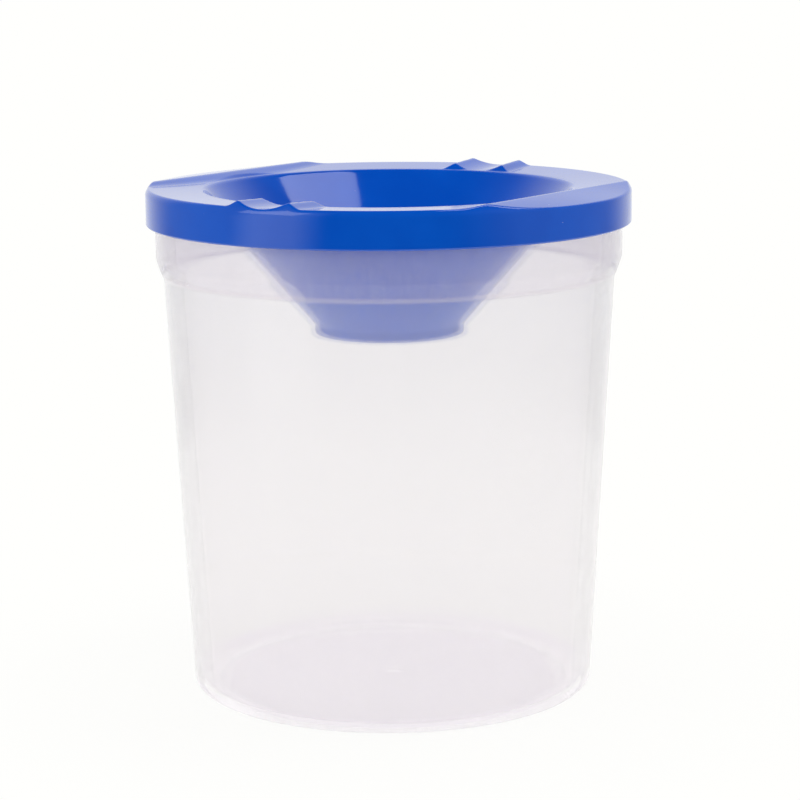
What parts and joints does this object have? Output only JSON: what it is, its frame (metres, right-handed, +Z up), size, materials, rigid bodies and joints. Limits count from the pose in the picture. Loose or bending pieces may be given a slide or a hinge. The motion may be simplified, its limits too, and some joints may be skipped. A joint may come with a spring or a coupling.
{
  "type": "paint cup with lid",
  "caption": "Round translucent paint cup with a tapered wall and stepped collar, closed by a press-on lid whose open funnel is ringed by raised brush rests.",
  "frame": {"origin": "middle of the foot ring, on the table that the cup stands on", "axes": "+Z up along the axis of the cup, front towards -Y; the wide rests lie at about 35.6 degrees from +X towards -Y and opposite, the narrow ones at about 60.3 degrees from +X towards +Y and opposite"},
  "size_m": [0.08, 0.08, 0.085],
  "materials": {
    "cup_plastic": "frosted translucent moulding, clearer along the body than on the collar",
    "lid_plastic": "glossy moulding, saturated blue"
  },
  "bodies": {
    "cup": {"cup": "cup_plastic"},
    "lid": {"lid": "lid_plastic"}
  },
  "joints": [
    {"name": "lid_lift", "type": "slide", "parent": "cup", "child": "lid", "axis": [0, 0, 1], "range_m": [0, 0.06]}
  ]
}
